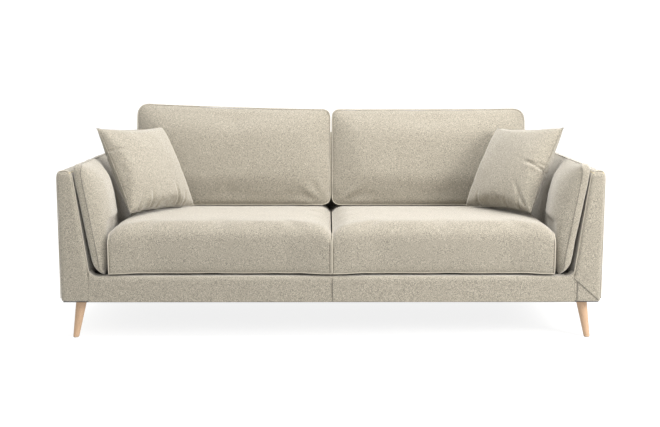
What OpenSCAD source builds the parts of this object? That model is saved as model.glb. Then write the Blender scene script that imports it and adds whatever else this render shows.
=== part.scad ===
// Two-seat-cushion sofa on four tapered wooden legs, with loose seat and back cushions,
// slip-in arm pads and two throw pillows. Millimetres. The origin is on the floor, under the
// middle of the sofa: +X is to the right of a person facing it, -Y is the front, +Z is up.

/* [Overall] */
// Width over the two arms
sofa_w = 2100; // [2000:10:2300]
// Depth from the front rail to the top of the backrest
sofa_d = 900; // [880:10:960]
// Height of the underside, which is the visible length of the legs
leg_h = 150; // [130:5:180]
// Height of the upholstered rail below the seat cushions
rail_h = 100; // [90:5:110]
// Height of the top of the arms
arm_top_z = 660; // [640:5:680]
// Height of the top of the backrest frame
back_top_z = 745; // [730:5:760]
// Backward lean of the backrest, in degrees
back_lean = 8; // [6:0.5:10]

/* [Arms] */
// Width of an arm at its foot
arm_foot_w = 102; // [98:1:106]
// Width of an arm just above the rail, where its inner face is nearest the seat
arm_knee_w = 108; // [104:1:112]
// Width of an arm at its top
arm_top_w = 52; // [50:1:58]
// Thickness of the loose pad at its top
pad_top_t = 68; // [55:1:75]
// Thickness of the loose pad at its foot
pad_foot_t = 63; // [55:1:64]

/* [Cushions] */
// Height of the top of the seat cushions
seat_top_z = 445; // [440:5:460]
// Depth of a seat cushion
seat_d = 728; // [700:1:730]
// Height of the top of the back cushions
cushion_top_z = 868; // [850:2:880]
// Thickness of a back cushion where it stands on the seat cushion
back_cushion_t = 194; // [160:2:196]
// Thickness of a back cushion near its top
back_cushion_top_t = 160; // [140:2:170]
// Width of a back cushion
back_cushion_w = 858; // [820:1:862]
// Side of a throw pillow
pillow_w = 385; // [360:5:390]
// Thickness of a throw pillow in its middle
pillow_t = 128; // [100:2:140]

/* [Legs] */
// Diameter of a leg at its top
leg_top_d = 43; // [38:1:46]
// Diameter of a leg at the floor
leg_foot_d = 23; // [21:1:28]
// Outward splay of a leg, seen from the front and from the side, in degrees
leg_splay = 8.5; // [4:0.5:8]

/* [Hidden] */

left = -1;
right = 1;
half_w = sofa_w / 2;
front_y = -sofa_d / 2;
rail_top_z = leg_h + rail_h;
rear_y0 = sofa_d / 2 - (back_top_z - rail_top_z) * tan(back_lean);

// Upholstery layers and the seam that keeps sewn panels apart
cover_t = 5;
foam_t = 8;
seam = 0.3;
shell_t = 6;
board_t = 3;
play = 0.2;
dust_t = 1;
deck_t = 3;
arm_top_r = 9;
lip_d = 61;

// Timber
rail_t = 25;
post_d = 45;
timber_t = 29;
top_rail_h = 40;
seat_frame_x = half_w - arm_knee_w - 1;
deck_build_h = 10;
frame_top_z = rail_top_z - deck_build_h;
corner_block_w = 68;
corner_block_h = 38;
corner_block_rise = 8;

// Legs: where the axis meets the underside, measured from the sofa's sides, front and rear
leg_in_x = 64;
leg_in_y = 62;
leg_rear_y = rear_y0 - leg_in_y;
leg_reach = leg_h * tan(leg_splay);
leg_taper = (leg_top_d - leg_foot_d) / 2 / leg_h;
glide_h = 3;
plate_w = 54;
plate_t = 2.5;
plate_z = leg_h + dust_t + 1;
frame_bottom_z = plate_z + plate_t + play;
screw_pitch = 41;
screw_r = 2;
bolt_r = 4;
hole_r = 4.2;
bolt_head_r = 7.5;
bolt_head_h = 5.6;
arm_bolt_z = leg_h + 62;
back_bolt_z = [370, 540];
back_bolt_in = 34;

// Springs
springs_per_seat = 5;
spring_first_x = 100;
spring_pitch = 185;
spring_wire_r = 2;
spring_loop_r = 20;
spring_w = 62;
spring_z = frame_top_z + spring_wire_r + 1;
side_rail_y0 = front_y + cover_t + foam_t + 1 + rail_t + play;
side_rail_y1 = rear_y0 - cover_t - 1 - rail_t - play;
spring_span = side_rail_y1 - side_rail_y0 + rail_t;
clip_w = 24;
clip_d = 12;

// Layers of an arm, measured inwards from its faces
arm_in = cover_t + seam + board_t;
arm_out = cover_t + foam_t + board_t;
arm_front_in = cover_t + 10 + seam;
arm_rear_in = cover_t + seam;
arm_foam_top_z = arm_top_z - cover_t - seam;
arm_frame_top_z = arm_foam_top_z - 15 - seam;
bottom_rail_top_z = frame_bottom_z + timber_t;
top_rail_z = arm_frame_top_z - top_rail_h;

// Backrest, drawn upright with its rear foot at the origin
back_h = (back_top_z - rail_top_z) / cos(back_lean);
back_t = 88;
back_gap = 4;
back_rail_h = 45;
back_foot = 2;
back_in = cover_t + 1;
back_frame_y0 = -back_t + cover_t + 17;
back_frame_y1 = -cover_t - board_t - 1;
webbing_w = 60;
webbing_t = 2;
webbing_first_x = 110;
webbing_pitch = 160;

// Loose cushions
pad_gap = 3;
pad_top_z = arm_top_z + 12;
pad_rear_y = front_y + 715;
pad_radii = [12, 8, 24, 24, 60];
pad_side_radii = [6, 6, 18, 8];
seat_bottom_z = rail_top_z + 3;
seat_gap = 4;
seat_x1 = half_w - arm_knee_w - pad_foot_t - 9;
seat_side_radii = [22, 14, 26, 48];
seat_front_radii = [14, 14, 38, 38];
cushion_bottom_z = seat_top_z + 5;
cushion_rear_gap = 9;
cushion_side_radii = [34, 16, 56, 60];
cushion_front_radii = [34, 34, 40, 40];
zip_z = (seat_bottom_z + seat_top_z) / 2;
back_zip_z = cushion_bottom_z + 60;
zip_in = 60;

cloth = "#b8ad98";
cloth_light = "#cdc5b4";
foam_colour = "#e8dfb0";
timber = "#c9a878";
leg_wood = "#c8a988";
board = "#8a6d4a";
steel = "#9a9da1";

// ---- outlines ----

function inner_x(z) = half_w - (z <= rail_top_z
    ? arm_foot_w + (arm_knee_w - arm_foot_w) * (z - leg_h) / rail_h
    : arm_knee_w + (arm_top_w - arm_knee_w) * (z - rail_top_z) / (arm_top_z - rail_top_z));
function rear_y(z) = z <= rail_top_z ? rear_y0 : rear_y0 + (z - rail_top_z) * tan(back_lean);
function unit(v) = v / norm(v);
function bisector(a, p, b) = unit(unit(a - p) + unit(b - p));
function half_angle(a, p, b) = acos(unit(a - p) * unit(b - p)) / 2;
function wrap(angle) = angle > 180 ? angle - 360 : angle < -180 ? angle + 360 : angle;
function fillet(a, p, b, r) = r == 0 ? [p] :
    let (h = half_angle(a, p, b), c = p + bisector(a, p, b) * r / sin(h))
    let (s = p + unit(a - p) * r / tan(h) - c, e = p + unit(b - p) * r / tan(h) - c)
    let (a0 = atan2(s.y, s.x), turn = wrap(atan2(e.y, e.x) - a0), n = 6)
    [for (i = [0:n]) c + r * [cos(a0 + turn * i / n), sin(a0 + turn * i / n)]];

// A convex outline moved inwards by t
function inset(pts, t) = [
    for (i = [0:len(pts) - 1])
        let (a = pts[(i + len(pts) - 1) % len(pts)], p = pts[i], b = pts[(i + 1) % len(pts)])
        p + bisector(a, p, b) * t / sin(half_angle(a, p, b))
];

// A convex outline with a rounded corner at each point
function rounded(pts, radii) = [
    for (i = [0:len(pts) - 1])
        each fillet(pts[(i + len(pts) - 1) % len(pts)], pts[i], pts[(i + 1) % len(pts)], radii[i])
];

function box_outline(a0, a1, b0, b1) = [[a0, b0], [a1, b0], [a1, b1], [a0, b1]];

// ---- helpers ----

// Mirrors its children to the left side
module on_side(side) {
    if (side == left) mirror([1, 0, 0]) children();
    else children();
}

module both_sides() {
    children();
    mirror([1, 0, 0]) children();
}

module block(x, y, z) {
    translate([x[0], y[0], z[0]]) cube([x[1] - x[0], y[1] - y[0], z[1] - z[0]]);
}

// Extrudes an X-Z outline along Y
module run_y(y0, y1) {
    rotate([90, 0, 0]) translate([0, 0, -y1]) linear_extrude(y1 - y0) children();
}

// Extrudes a Y-Z outline along X
module run_x(x0, x1) {
    translate([x0, 0, 0]) rotate([90, 0, 90]) linear_extrude(x1 - x0) children();
}

// A cylinder along +X
module rod_x(x0, x1, r) {
    translate([x0, 0, 0]) rotate([0, 90, 0]) cylinder(h = x1 - x0, r = r);
}

// The right arm's cross-section between two heights, with its faces moved inwards
module arm_section(in_inner, in_outer, z0, z1) {
    knee = z0 < rail_top_z && z1 > rail_top_z ? [[inner_x(rail_top_z) + in_inner, rail_top_z]] : [];
    polygon(concat(
        [[inner_x(z0) + in_inner, z0], [half_w - in_outer, z0],
         [half_w - in_outer, z1], [inner_x(z1) + in_inner, z1]],
        knee));
}

// The arm's side view between two heights, with its front and rear moved inwards
module arm_side(in_front, in_rear, z0, z1) {
    knee = z0 < rail_top_z && z1 > rail_top_z ? [[rear_y(rail_top_z) - in_rear, rail_top_z]] : [];
    polygon(concat(
        [[front_y + in_front, z0], [rear_y(z0) - in_rear, z0]],
        knee,
        [[rear_y(z1) - in_rear, z1], [front_y + in_front, z1]]));
}

// A solid of the right arm's shape, moved inwards on each side
module arm_solid(in_inner, in_outer, in_front, in_rear, z0, z1) {
    intersection() {
        run_y(front_y, sofa_d) arm_section(in_inner, in_outer, z0, z1);
        run_x(0, sofa_w) arm_side(in_front, in_rear, z0, z1);
    }
}

// ---- legs ----

// Places children at a leg's axis on the underside; the leg's own axis runs down along -Z
module at_leg(side, end) {
    y = end == "front" ? front_y + leg_in_y : leg_rear_y;
    on_side(side)
        translate([half_w - leg_in_x, y, leg_h])
            if (end == "front") rotate([-leg_splay, -leg_splay, 0]) children();
            else rotate([leg_splay, -leg_splay, 0]) children();
}

module at_all_legs() {
    for (side = [left, right], end = ["front", "rear"]) at_leg(side, end) children();
}

// The upright place of a leg's plate, on the underside of the arm's bottom rail
module at_plates() {
    for (side = [left, right], y = [front_y + leg_in_y, leg_rear_y])
        translate([side * (half_w - leg_in_x), y, plate_z]) children();
}

module leg(side, end) {
    color(leg_wood)
        intersection() {
            difference() {
                at_leg(side, end)
                    translate([0, 0, -leg_h - 20])
                        cylinder(h = leg_h + 40,
                                 r1 = leg_foot_d / 2 - 20 * leg_taper,
                                 r2 = leg_top_d / 2 + 20 * leg_taper);
                at_leg(side, end) translate([0, 0, -40]) cylinder(h = 80, r = hole_r);
            }
            translate([-sofa_w, -sofa_d, glide_h])
                cube([2 * sofa_w, 2 * sofa_d, plate_z - glide_h]);
        }
}

module leg_glides() {
    color("#d8d4cc")
        for (side = [left, right], end = [-1, 1])
            translate([side * (half_w - leg_in_x + leg_reach),
                       (end < 0 ? front_y + leg_in_y : leg_rear_y) + end * leg_reach, 0])
                cylinder(h = glide_h, r = leg_foot_d / 2 - 1.5);
}

module leg_plates() {
    color(steel)
        difference() {
            at_plates() translate([-plate_w / 2, -plate_w / 2, 0]) cube([plate_w, plate_w, plate_t]);
            at_plates() plate_corners() translate([0, 0, -1]) cylinder(h = 5, r = screw_r + play);
            at_all_legs() translate([0, 0, -5]) cylinder(h = 15, r = hole_r);
        }
}

module plate_corners() {
    for (x = [-1, 1], y = [-1, 1])
        translate([x * screw_pitch / 2, y * screw_pitch / 2, 0]) children();
}

module leg_bolts() {
    color(steel) at_all_legs() translate([0, 0, -38]) cylinder(h = 62, r = bolt_r);
}

module leg_plate_screws() {
    color(steel)
        at_plates() plate_corners() {
            translate([0, 0, -2.2]) cylinder(h = 2, r = 3.6);
            translate([0, 0, -0.4]) cylinder(h = 20, r = screw_r);
        }
}

// ---- seat frame ----

module front_rail() {
    color(timber)
        block([-seat_frame_x, seat_frame_x],
              [front_y + cover_t + foam_t + 1, front_y + cover_t + foam_t + 1 + rail_t],
              [frame_bottom_z, frame_top_z]);
}

module rear_rail() {
    color(timber)
        block([-seat_frame_x, seat_frame_x],
              [rear_y0 - cover_t - 1 - rail_t, rear_y0 - cover_t - 1],
              [frame_bottom_z, frame_top_z]);
}

module side_rail(side) {
    color(timber)
        on_side(side)
            difference() {
                block([seat_frame_x - rail_t, seat_frame_x], [side_rail_y0, side_rail_y1],
                      [frame_bottom_z, frame_top_z]);
                arm_bolt_places() rod_x(-60, 60, hole_r);
            }
}

module centre_rail() {
    color(timber)
        block([-rail_t / 2, rail_t / 2], [side_rail_y0, side_rail_y1],
              [frame_bottom_z, frame_top_z - 15]);
}

// Triangular blocks glued into the four inner corners
module corner_blocks() {
    color(timber)
        for (x = [-1, 1], end = [0, 1])
            mirror([x < 0 ? 1 : 0, 0, 0])
                translate([seat_frame_x - rail_t - play, end == 0 ? side_rail_y0 : side_rail_y1, 0])
                    mirror([0, end, 0])
                        translate([0, 0, frame_bottom_z + corner_block_rise])
                            linear_extrude(corner_block_h)
                                polygon([[0, play], [-corner_block_w, play], [0, corner_block_w]]);
}

// One zigzag spring from the front rail to the rear rail
module zigzag_spring(length) {
    straight = spring_w - 2 * spring_loop_r;
    count = floor(length / (2 * spring_loop_r));
    for (i = [0:count - 1]) {
        y = i * 2 * spring_loop_r;
        way = i % 2 == 0 ? 1 : -1;
        translate([way * straight / 2, y + spring_loop_r, 0])
            rotate([0, 0, way > 0 ? -90 : 90])
                rotate_extrude(angle = 180) translate([spring_loop_r, 0]) circle(r = spring_wire_r);
        translate([-straight / 2, y + 2 * spring_loop_r, 0])
            if (i < count - 1) rod_x(0, straight, spring_wire_r);
    }
}

module at_springs() {
    for (seat = [-1, 1], i = [0:springs_per_seat - 1])
        translate([seat * (spring_first_x + i * spring_pitch), side_rail_y0 - rail_t / 2, spring_z])
            children();
}

module seat_springs() {
    color(steel) at_springs() zigzag_spring(spring_span);
}

module spring_clips() {
    color(steel)
        at_springs()
            for (y = [0, spring_span])
                translate([-clip_w / 2, y - clip_d / 2, spring_wire_r + 0.4])
                    cube([clip_w, clip_d, 1.2]);
}

module seat_deck() {
    color("#6f6a60")
        block([-seat_frame_x, seat_frame_x], [front_y + lip_d + 1, rear_y0 - back_t - 4],
              [rail_top_z - deck_t, rail_top_z]);
}

module dust_cover() {
    color("#2e2c2a")
        difference() {
            block([-half_w + 8, half_w - 8], [front_y + 8, rear_y0 - 8], [leg_h, leg_h + dust_t]);
            at_plates() translate([0, 0, -5]) cylinder(h = 10, r = 44);
        }
}

module rail_foam() {
    color(foam_colour)
        block([-seat_frame_x, seat_frame_x],
              [front_y + cover_t + 0.3, front_y + cover_t + 0.3 + foam_t],
              [leg_h + 2, rail_top_z - 6]);
}

// The upright panel between the two arms, which follows their sloping inner faces
module rail_panel() {
    foot_x = inner_x(leg_h) - seam;
    knee_x = inner_x(rail_top_z) - seam;
    polygon([[-foot_x, leg_h], [foot_x, leg_h], [knee_x, rail_top_z], [-knee_x, rail_top_z]]);
}

// The front rail's cover: the upright panel and the lip that turns in over the rail
module rail_cover_front() {
    color(cloth) {
        run_y(front_y, front_y + cover_t) rail_panel();
        block([-seat_frame_x, seat_frame_x], [front_y + cover_t + seam, front_y + lip_d],
              [rail_top_z - deck_t, rail_top_z]);
    }
}

module rail_cover_rear() {
    color(cloth) run_y(rear_y0 - cover_t, rear_y0) rail_panel();
}

// ---- arms (drawn on the right, mirrored to the left) ----

// Places of the two bolts that join the seat frame to each arm, on the arm's inner face
module arm_bolt_places() {
    for (y = [front_y + arm_front_in + post_d - 8, rear_y0 - arm_rear_in - post_d + 8])
        translate([seat_frame_x, y, arm_bolt_z]) children();
}

// Places of the two bolts that join the backrest to each arm
module back_bolt_places() {
    for (z = back_bolt_z) translate([inner_x(z), rear_y(z) - back_bolt_in, z]) children();
}

module arm_bottom_rails() {
    color(timber)
        difference() {
            both_sides()
                arm_solid(arm_in + play, arm_out + play, arm_front_in + play, arm_rear_in + play,
                          frame_bottom_z, bottom_rail_top_z);
            at_all_legs() translate([0, 0, -20]) cylinder(h = 60, r = hole_r + 0.8);
            at_plates() plate_corners() cylinder(h = 24, r = screw_r + 0.1);
        }
}

module arm_top_rails() {
    color(timber)
        both_sides()
            arm_solid(arm_in + play, arm_out + play, arm_front_in + play, arm_rear_in + play,
                      top_rail_z, arm_frame_top_z);
}

module arm_front_posts() {
    color(timber)
        both_sides()
            difference() {
                intersection() {
                    arm_solid(arm_in + play, arm_out + play, arm_front_in + play, arm_rear_in,
                              bottom_rail_top_z + play, top_rail_z - play);
                    block([0, sofa_w], [front_y, front_y + arm_front_in + post_d], [0, sofa_w]);
                }
                arm_bolt_places() rod_x(-60, 60, hole_r);
            }
}

module arm_rear_posts() {
    color(timber)
        both_sides()
            difference() {
                arm_solid(arm_in + play, arm_out + play, arm_front_in, arm_rear_in + play,
                          bottom_rail_top_z + play, top_rail_z - play);
                run_x(0, sofa_w)
                    arm_side(-10, arm_rear_in + post_d, 0, sofa_w);
                arm_bolt_places() rod_x(-60, 60, hole_r);
                back_bolt_places() rod_x(-60, 60, hole_r);
            }
}

module arm_outer_panels() {
    color(board)
        both_sides()
            intersection() {
                arm_solid(0, 0, arm_front_in, arm_rear_in, leg_h + 5, arm_frame_top_z);
                block([half_w - arm_out, half_w - arm_out + board_t - play], [-sofa_d, sofa_d],
                      [0, sofa_w]);
            }
}

module arm_inner_panels() {
    color(board)
        both_sides()
            difference() {
                arm_solid(cover_t + seam, 0, arm_front_in, arm_rear_in, leg_h + 5, arm_frame_top_z);
                run_y(-sofa_d, sofa_d) arm_section(arm_in, -50, 0, sofa_w);
                arm_bolt_places() rod_x(-60, 60, hole_r);
                back_bolt_places() rod_x(-60, 60, hole_r);
            }
}

// Foam over the outside, the front and the top of an arm's frame
module arm_foam(side) {
    color(foam_colour)
        on_side(side) {
            intersection() {
                arm_solid(0, 0, arm_front_in, arm_rear_in, leg_h + 5, arm_frame_top_z);
                block([half_w - cover_t - foam_t, half_w - cover_t - seam], [-sofa_d, sofa_d],
                      [0, sofa_w]);
            }
            intersection() {
                arm_solid(cover_t + seam, cover_t + seam, cover_t + seam, 0, leg_h + 5,
                          arm_frame_top_z);
                block([0, sofa_w], [front_y, front_y + arm_front_in - seam], [0, sofa_w]);
            }
            arm_solid(cover_t + seam, cover_t + seam, cover_t + seam, arm_rear_in,
                      arm_frame_top_z + seam, arm_foam_top_z);
        }
}

// The arm's sewn cover: outer, inner, front, top and rear panels
module arm_cover(side) {
    outline = [[inner_x(leg_h), leg_h], [half_w, leg_h], [half_w, arm_top_z],
               [inner_x(arm_top_z), arm_top_z], [inner_x(rail_top_z), rail_top_z]];
    color(cloth)
        on_side(side) {
            run_y(front_y, front_y + cover_t) polygon(rounded(outline, [0, 0, arm_top_r, arm_top_r, 0]));
            intersection() {
                arm_solid(0, 0, cover_t + seam, cover_t + seam, leg_h, arm_top_z - arm_top_r);
                block([half_w - cover_t, half_w], [-sofa_d, sofa_d], [0, sofa_w]);
            }
            difference() {
                arm_solid(0, 0, cover_t + seam, cover_t + seam, leg_h + dust_t + seam,
                          arm_top_z - arm_top_r);
                run_y(-sofa_d, sofa_d) arm_section(cover_t, -50, 0, sofa_w);
                arm_bolt_places() rod_x(-60, 60, hole_r);
                back_bolt_places() rod_x(-60, 60, hole_r);
            }
            difference() {
                intersection() {
                    run_y(front_y, sofa_d)
                        polygon(rounded(outline, [0, 0, arm_top_r, arm_top_r, 0]));
                    run_x(0, sofa_w)
                        arm_side(cover_t + seam, 0, arm_top_z - arm_top_r + seam, arm_top_z);
                }
                block([inner_x(arm_top_z - arm_top_r) + cover_t, half_w - cover_t], [-sofa_d, sofa_d],
                      [0, arm_top_z - cover_t]);
            }
            difference() {
                arm_solid(0, 0, cover_t, 0, leg_h, arm_top_z - arm_top_r);
                run_x(0, sofa_w) arm_side(-10, cover_t, 0, sofa_w);
            }
        }
}

module bolt_x(x0, x1) {
    rod_x(x0, x1, bolt_r);
    translate([x0 + 0.1 - bolt_head_h, 0, 0]) rotate([0, 90, 0])
        cylinder(h = bolt_head_h, r = bolt_head_r, $fn = 6);
}

module arm_bolts() {
    color(steel) both_sides() arm_bolt_places() bolt_x(-rail_t - play, 42);
}

// ---- backrest, drawn upright with its rear foot at the origin, then leaned ----

module lean_back() {
    translate([0, rear_y0, rail_top_z]) rotate([-back_lean, 0, 0]) children();
}

function back_half_w(z) = inner_x(min(arm_top_z, rail_top_z + z * cos(back_lean))) - back_gap;

function back_outline(t) =
    let (knee_z = (arm_top_z - rail_top_z) / cos(back_lean))
    [[-back_half_w(0) + t, 0], [back_half_w(0) - t, 0], [back_half_w(knee_z) - t, knee_z],
     [back_half_w(back_h) - t, back_h - t], [-back_half_w(back_h) + t, back_h - t],
     [-back_half_w(knee_z) + t, knee_z]];

module back_plate(y0, y1, t) {
    run_y(y0, y1) polygon(back_outline(t));
}

module back_frame_slice(z0, z1) {
    intersection() {
        back_plate(back_frame_y0, back_frame_y1, back_in);
        block([-sofa_w, sofa_w], [-sofa_d, sofa_d], [z0, z1]);
    }
}

module back_bottom_rail() {
    color(timber) lean_back() back_frame_slice(back_foot, back_foot + back_rail_h);
}

module back_top_rail() {
    color(timber) lean_back() back_frame_slice(back_h - back_in - back_rail_h, back_h);
}

// Two sloping end posts and one in the middle
module back_posts() {
    z0 = back_foot + back_rail_h + play;
    z1 = back_h - back_in - back_rail_h - play;
    color(timber)
        difference() {
            lean_back() {
                difference() {
                    back_frame_slice(z0, z1);
                    back_plate(-sofa_d, sofa_d, back_in + post_d);
                }
                block([-post_d / 2, post_d / 2], [back_frame_y0, back_frame_y1], [z0, z1]);
            }
            both_sides() back_bolt_places() rod_x(-80, 20, hole_r);
        }
}

module back_webbing() {
    color("#3c3a36")
        lean_back()
            for (side = [-1, 1], i = [0:4])
                translate([side * (webbing_first_x + i * webbing_pitch) - webbing_w / 2,
                           back_frame_y0 - webbing_t - play, back_foot + back_in])
                    cube([webbing_w, webbing_t, back_h - 2 * (back_foot + back_in) - back_in]);
}

module back_rear_panel() {
    color(board)
        lean_back()
            intersection() {
                back_plate(-cover_t - board_t - 0.5, -cover_t - 0.5, back_in);
                block([-sofa_w, sofa_w], [-sofa_d, sofa_d], [back_foot, back_h]);
            }
}

module back_foam() {
    color(foam_colour)
        lean_back()
            intersection() {
                back_plate(-back_t + cover_t + seam, back_frame_y0 - webbing_t - 0.5, back_in);
                block([-sofa_w, sofa_w], [-sofa_d, sofa_d], [back_foot, back_h]);
            }
}

// The backrest's sewn cover: front, rear, top and two side panels
module back_cover() {
    color(cloth)
        difference() {
            lean_back() {
                back_plate(-back_t, -back_t + cover_t, 0);
                back_plate(-cover_t, 0, 0);
                intersection() {
                    back_plate(-back_t + cover_t + seam, -cover_t - seam, 0);
                    block([-sofa_w, sofa_w], [-sofa_d, sofa_d], [back_h - cover_t, back_h]);
                }
                difference() {
                    back_plate(-back_t + cover_t + seam, -cover_t - seam, 0);
                    back_plate(-sofa_d, sofa_d, cover_t);
                    block([-sofa_w, sofa_w], [-sofa_d, sofa_d], [back_h - cover_t - seam, sofa_w]);
                    block([-700, 700], [-sofa_d, sofa_d], [-10, sofa_w]);
                }
            }
            both_sides() back_bolt_places() rod_x(-80, 20, hole_r);
        }
}

module back_bolts() {
    color(steel) both_sides() back_bolt_places() bolt_x(-post_d - 14, 45);
}

// ---- loose cushions ----

function pad_outline() = [
    [inner_x(seat_bottom_z) - pad_gap - pad_foot_t, seat_bottom_z + 1],
    [inner_x(seat_bottom_z) - pad_gap, seat_bottom_z + 1],
    [inner_x(arm_top_z) - pad_gap, pad_top_z],
    [inner_x(arm_top_z) - pad_gap - pad_top_t, pad_top_z],
    [inner_x(seat_bottom_z) - pad_gap - pad_foot_t + 10, seat_top_z - 5]
];

// A pad between the arm's inner face and the seat cushion
module pad_form(t) {
    intersection() {
        run_y(front_y + t, pad_rear_y - t)
            polygon(rounded(inset(pad_outline(), t), pad_radii));
        run_x(0, sofa_w)
            polygon(rounded(
                inset(box_outline(front_y, pad_rear_y, seat_bottom_z + 1, pad_top_z), t),
                pad_side_radii));
    }
}

module arm_pad(side) {
    color(cloth_light) on_side(side) difference() {
        pad_form(0);
        pad_form(shell_t);
    }
}

module arm_pad_foam(side) {
    color(foam_colour) on_side(side) pad_form(shell_t + play);
}

// A seat cushion with a softly rounded front edge
module seat_form(t) {
    seat_y = [front_y, front_y + seat_d];
    intersection() {
        run_x(seat_gap / 2 + t, seat_x1 - t)
            polygon(rounded(inset(box_outline(seat_y[0], seat_y[1], seat_bottom_z, seat_top_z), t),
                            seat_side_radii));
        run_y(seat_y[0] + t, seat_y[1] - t)
            polygon(rounded(
                inset(box_outline(seat_gap / 2, seat_x1, seat_bottom_z, seat_top_z), t),
                seat_front_radii));
    }
}

module seat_cushion(side) {
    color(cloth) on_side(side) difference() {
        seat_form(0);
        seat_form(shell_t);
    }
}

module seat_foam(side) {
    color(foam_colour) on_side(side) seat_form(shell_t + play);
}

function rest_y(z) = rear_y(z) - back_t / cos(back_lean) - cushion_rear_gap;

function back_cushion_side() = [
    [rest_y(cushion_bottom_z) - back_cushion_t, cushion_bottom_z],
    [rest_y(cushion_bottom_z), cushion_bottom_z],
    [rest_y(cushion_top_z), cushion_top_z],
    [rest_y(cushion_top_z) - back_cushion_top_t, cushion_top_z]
];

// A back cushion that stands on the seat cushion and leans on the backrest
module back_form(t) {
    x1 = seat_gap / 2 + back_cushion_w;
    intersection() {
        run_x(seat_gap / 2 + t, x1 - t)
            polygon(rounded(inset(back_cushion_side(), t), cushion_side_radii));
        run_y(-sofa_d, sofa_d)
            polygon(rounded(
                inset(box_outline(seat_gap / 2, x1, cushion_bottom_z, cushion_top_z), t),
                cushion_front_radii));
    }
}

module back_cushion(side) {
    color(cloth_light) on_side(side) difference() {
        back_form(0);
        back_form(shell_t);
    }
}

module back_fill(side) {
    color(foam_colour) on_side(side) back_form(shell_t + play);
}

// The outline of a lens between two arcs, long in x and thick in y
function lens(width, thick) =
    let (r = (width * width + thick * thick) / 4 / thick, a = asin(width / 2 / r), n = 10)
    [for (way = [1, -1], i = [0:n - 1])
        let (turn = way * a * (2 * i / n - 1))
        [r * sin(turn), way * (r * cos(turn) - r + thick / 2)]];

// A knife-edge pillow, standing on its lower edge at the origin and facing -Y
module pillow_form(t) {
    outline = lens(pillow_w - 5 * t, pillow_t - 2 * t);
    translate([0, 0, pillow_w / 2])
        intersection() {
            linear_extrude(pillow_w, center = true) polygon(outline);
            rotate([0, -90, 0]) linear_extrude(pillow_w, center = true) polygon(outline);
        }
}

// Where each pillow's lower edge rests, and how far it is turned, leaned and rolled
module place_pillow(side) {
    if (side == left)
        translate([-696, front_y + 322, seat_top_z + 21])
            rotate([-29.5, 0, 57]) rotate([0, 2.3, 0]) children();
    else
        translate([686, front_y + 315, seat_top_z + 24])
            rotate([-30.5, 0, -56.5]) rotate([0, -3.3, 0]) children();
}

module throw_pillow(side) {
    color(cloth_light) place_pillow(side) difference() {
        pillow_form(0);
        pillow_form(shell_t);
    }
}

module pillow_fill(side) {
    color(foam_colour) place_pillow(side) pillow_form(shell_t + play);
}

// A zip's slider with its pull, at the origin, facing +Y
module zip_slider() {
    block([-5, 5], [0.5, 4], [-4, 4]);
    difference() {
        block([5, 24], [1, 2.4], [-2.5, 2.5]);
        translate([20, 0, 0]) rotate([-90, 0, 0]) cylinder(h = 5, r = 1.5);
    }
}

module seat_zip(side) {
    color(steel) on_side(side)
        translate([seat_x1 - zip_in, front_y + seat_d, zip_z]) zip_slider();
}

module back_zip(side) {
    color(steel) on_side(side)
        translate([back_cushion_w - zip_in, rest_y(back_zip_z), back_zip_z])
            rotate([-back_lean, 0, 0]) zip_slider();
}

leg(left, "front");  // leg_front_left
leg(right, "front");  // leg_front_right
leg(left, "rear");  // leg_rear_left
leg(right, "rear");  // leg_rear_right
leg_glides();
leg_plates();
leg_bolts();
leg_plate_screws();
front_rail();
rear_rail();
side_rail(left);  // side_rail_left
side_rail(right);  // side_rail_right
centre_rail();
corner_blocks();
seat_springs();
spring_clips();
seat_deck();
dust_cover();
rail_foam();
rail_cover_front();
rail_cover_rear();
arm_bottom_rails();
arm_top_rails();
arm_front_posts();
arm_rear_posts();
arm_outer_panels();
arm_inner_panels();
arm_foam(left);  // arm_foam_left
arm_foam(right);  // arm_foam_right
arm_cover(left);  // arm_cover_left
arm_cover(right);  // arm_cover_right
arm_bolts();
back_bottom_rail();
back_top_rail();
back_posts();
back_webbing();
back_rear_panel();
back_foam();
back_cover();
back_bolts();
arm_pad(left);  // arm_pad_left
arm_pad(right);  // arm_pad_right
arm_pad_foam(left);  // arm_pad_foam_left
arm_pad_foam(right);  // arm_pad_foam_right
seat_cushion(left);  // seat_cushion_left
seat_cushion(right);  // seat_cushion_right
seat_foam(left);  // seat_foam_left
seat_foam(right);  // seat_foam_right
back_cushion(left);  // back_cushion_left
back_cushion(right);  // back_cushion_right
back_fill(left);  // back_fill_left
back_fill(right);  // back_fill_right
throw_pillow(left);  // throw_pillow_left
throw_pillow(right);  // throw_pillow_right
pillow_fill(left);  // pillow_fill_left
pillow_fill(right);  // pillow_fill_right
seat_zip(left);  // seat_zip_left
seat_zip(right);  // seat_zip_right
back_zip(left);  // back_zip_left
back_zip(right);  // back_zip_right
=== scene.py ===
import math

import bmesh
import bpy
import numpy as np
from mathutils import Matrix, Vector, noise


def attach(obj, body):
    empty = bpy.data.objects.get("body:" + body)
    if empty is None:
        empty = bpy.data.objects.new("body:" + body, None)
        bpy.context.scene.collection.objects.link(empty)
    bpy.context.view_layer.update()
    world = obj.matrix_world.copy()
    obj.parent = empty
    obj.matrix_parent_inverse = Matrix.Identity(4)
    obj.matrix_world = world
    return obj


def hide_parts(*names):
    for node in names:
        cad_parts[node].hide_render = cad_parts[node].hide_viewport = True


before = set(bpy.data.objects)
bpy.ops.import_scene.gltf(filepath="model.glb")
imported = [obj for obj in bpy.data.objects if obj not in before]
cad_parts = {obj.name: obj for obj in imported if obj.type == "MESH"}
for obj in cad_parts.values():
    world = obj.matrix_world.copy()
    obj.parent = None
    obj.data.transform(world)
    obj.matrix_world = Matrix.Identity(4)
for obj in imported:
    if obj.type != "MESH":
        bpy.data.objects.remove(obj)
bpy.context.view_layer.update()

SIDES = {"left": -1, "right": 1}

# ---- the sofa's main sizes, in metres, as the CAD has them ----

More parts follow.
